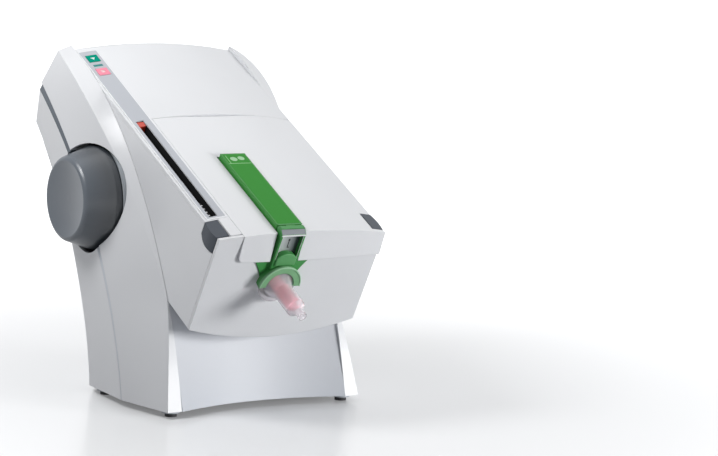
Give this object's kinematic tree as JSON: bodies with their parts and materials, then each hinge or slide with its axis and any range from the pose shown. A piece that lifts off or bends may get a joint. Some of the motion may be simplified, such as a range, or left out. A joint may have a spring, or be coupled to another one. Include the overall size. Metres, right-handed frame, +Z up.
{
  "type": "impression material mixer",
  "caption": "Bench mixer for dental impression material, with a sloping lidded deck, a side hand wheel and a clear mixing tip.",
  "frame": {"origin": "middle of the box on the surface that the feet stand on", "axes": "+Z up, the mixing tip points to -Y, the hand wheel is on the -X side"},
  "size_m": [0.2438, 0.3492, 0.3217],
  "materials": {
    "housing": "satin white moulded plastic",
    "wheel": "fine matt blue grey plastic",
    "trim": "satin grey plastic inlay",
    "band": "satin mid grey plastic",
    "strip": "light grey printed film",
    "key_green": "teal green moulded key",
    "key_red": "pink red moulded key",
    "lens": "teal clear lens",
    "pointer": "red plastic",
    "spine": "green label face",
    "lock": "green moulded plastic",
    "tip": "clear moulded plastic",
    "rotor": "pink moulded plastic",
    "cartridge": "violet grey moulded plastic",
    "bag": "foil film bag",
    "rubber": "black rubber",
    "disc": "dark rubber faced disc",
    "steel": "ground steel",
    "frame_metal": "plain aluminium plate",
    "brass": "plain bearing brass",
    "motor": "dark painted motor can",
    "supply": "grey painted cover",
    "board": "green circuit laminate",
    "black": "black moulded plastic"
  },
  "bodies": {
    "root": {"side_shell_right": "housing", "side_shell_left": "housing", "rear_wing_right": "housing", "rear_wing_left": "housing", "side_trims": "trim", "recess_band": "band", "rear_cover": "housing", "top_cover": "housing", "control_strip": "strip", "status_lens": "lens", "key_board": "board", "snout_shell": "housing", "front_panel": "housing", "button_guides": "black", "hinge_brackets": "frame_metal", "cartridge_body": "cartridge", "cartridge_spine": "spine", "material_bags": "bag", "tip_housing": "tip", "mixing_motor": "motor", "motor_mount": "frame_metal", "drive_belt": "rubber", "wheel_well": "housing", "side_frames": "frame_metal", "shaft_bushings": "brass", "bulkhead": "frame_metal", "shaft_bracket": "frame_metal", "feed_motor": "motor", "cartridge_tray": "band", "base_plate": "frame_metal", "base_front_panel": "housing", "foot_bosses": "housing", "foot_pads": "rubber", "housing_screws": "steel", "power_supply": "supply", "circuit_board": "board", "mains_inlet": "black"},
    "lid": {"lid": "housing", "lid_hinge_pins": "steel"},
    "hand_wheel": {"hand_wheel": "wheel", "wheel_shaft": "steel", "wheel_gear": "steel"},
    "pinion": {"pinion_shaft": "steel", "pinion_gear": "steel", "rack_pinions": "steel"},
    "plunger": {"plunger_racks": "steel", "plunger_discs": "disc", "rack_yoke": "frame_metal", "level_pointer": "pointer"},
    "start_key": {"start_key": "key_green"},
    "stop_key": {"stop_key": "key_red"},
    "start_button_left": {"start_button_left": "wheel"},
    "start_button_right": {"start_button_right": "wheel"},
    "drive": {"drive_shaft": "steel", "drive_pulley": "black", "mixing_rotor": "rotor"},
    "motor_pulley": {"motor_pulley": "black"},
    "tip_lock": {"tip_lock": "lock"},
    "rocker": {"rocker_switch": "black"}
  },
  "joints": [
    {"name": "lid_hinge", "type": "hinge", "parent": "root", "child": "lid", "pos_m": [0.00985, 0.01338, 0.25541], "axis": [-1, 0, 0], "range_deg": [0, 70]},
    {"name": "hand_wheel_turn", "type": "hinge", "parent": "root", "child": "hand_wheel", "pos_m": [-0.08765, 0.05672, 0.18199], "axis": [-1, 0, 0], "range_deg": [0, 1079.87]},
    {"name": "pinion_turn", "type": "hinge", "parent": "root", "child": "pinion", "pos_m": [0.00985, 0.05382, 0.19925], "axis": [1, 0, 0], "range_deg": [0, 563.42]},
    {"name": "plunger_feed", "type": "slide", "parent": "root", "child": "plunger", "axis": [0, -0.8813, -0.4726], "range_m": [0, 0.11801], "deforming": ["material_bags"]},
    {"name": "start_key_press", "type": "slide", "parent": "root", "child": "start_key", "axis": [0, 0.4726, -0.8813], "range_m": [0, 0.0008], "stiffness_N_per_m": 600},
    {"name": "stop_key_press", "type": "slide", "parent": "root", "child": "stop_key", "axis": [0, 0.4726, -0.8813], "range_m": [0, 0.0008], "stiffness_N_per_m": 600},
    {"name": "start_button_left_press", "type": "slide", "parent": "root", "child": "start_button_left", "axis": [1, 0, 0], "range_m": [0, 0.001], "stiffness_N_per_m": 1500},
    {"name": "start_button_right_press", "type": "slide", "parent": "root", "child": "start_button_right", "axis": [-1, 0, 0], "range_m": [0, 0.001], "stiffness_N_per_m": 1500},
    {"name": "motor_spin", "type": "hinge", "parent": "root", "child": "motor_pulley", "pos_m": [-0.00715, 0.06674, 0.14763], "axis": [0, -0.8813, -0.4726], "continuous": true},
    {"name": "rotor_spin", "type": "hinge", "parent": "root", "child": "drive", "pos_m": [-0.00715, 0.03314, 0.21029], "axis": [0, -0.8813, -0.4726], "continuous": true},
    {"name": "tip_lock_hinge", "type": "hinge", "parent": "root", "child": "tip_lock", "pos_m": [-0.00715, -0.14904, 0.17445], "axis": [-1, 0, 0], "range_deg": [0, 70]},
    {"name": "rocker_tilt", "type": "hinge", "parent": "root", "child": "rocker", "pos_m": [-0.00315, 0.13282, 0.036], "axis": [1, 0, 0], "range_deg": [0, 16]}
  ],
  "couplings": [
    {"joint": "pinion_turn", "follows": "hand_wheel_turn", "ratio": 0.52174},
    {"joint": "plunger_feed", "follows": "hand_wheel_turn", "m_per_rad": 0.0062609},
    {"joint": "rotor_spin", "follows": "motor_spin", "ratio": 0.66667}
  ]
}
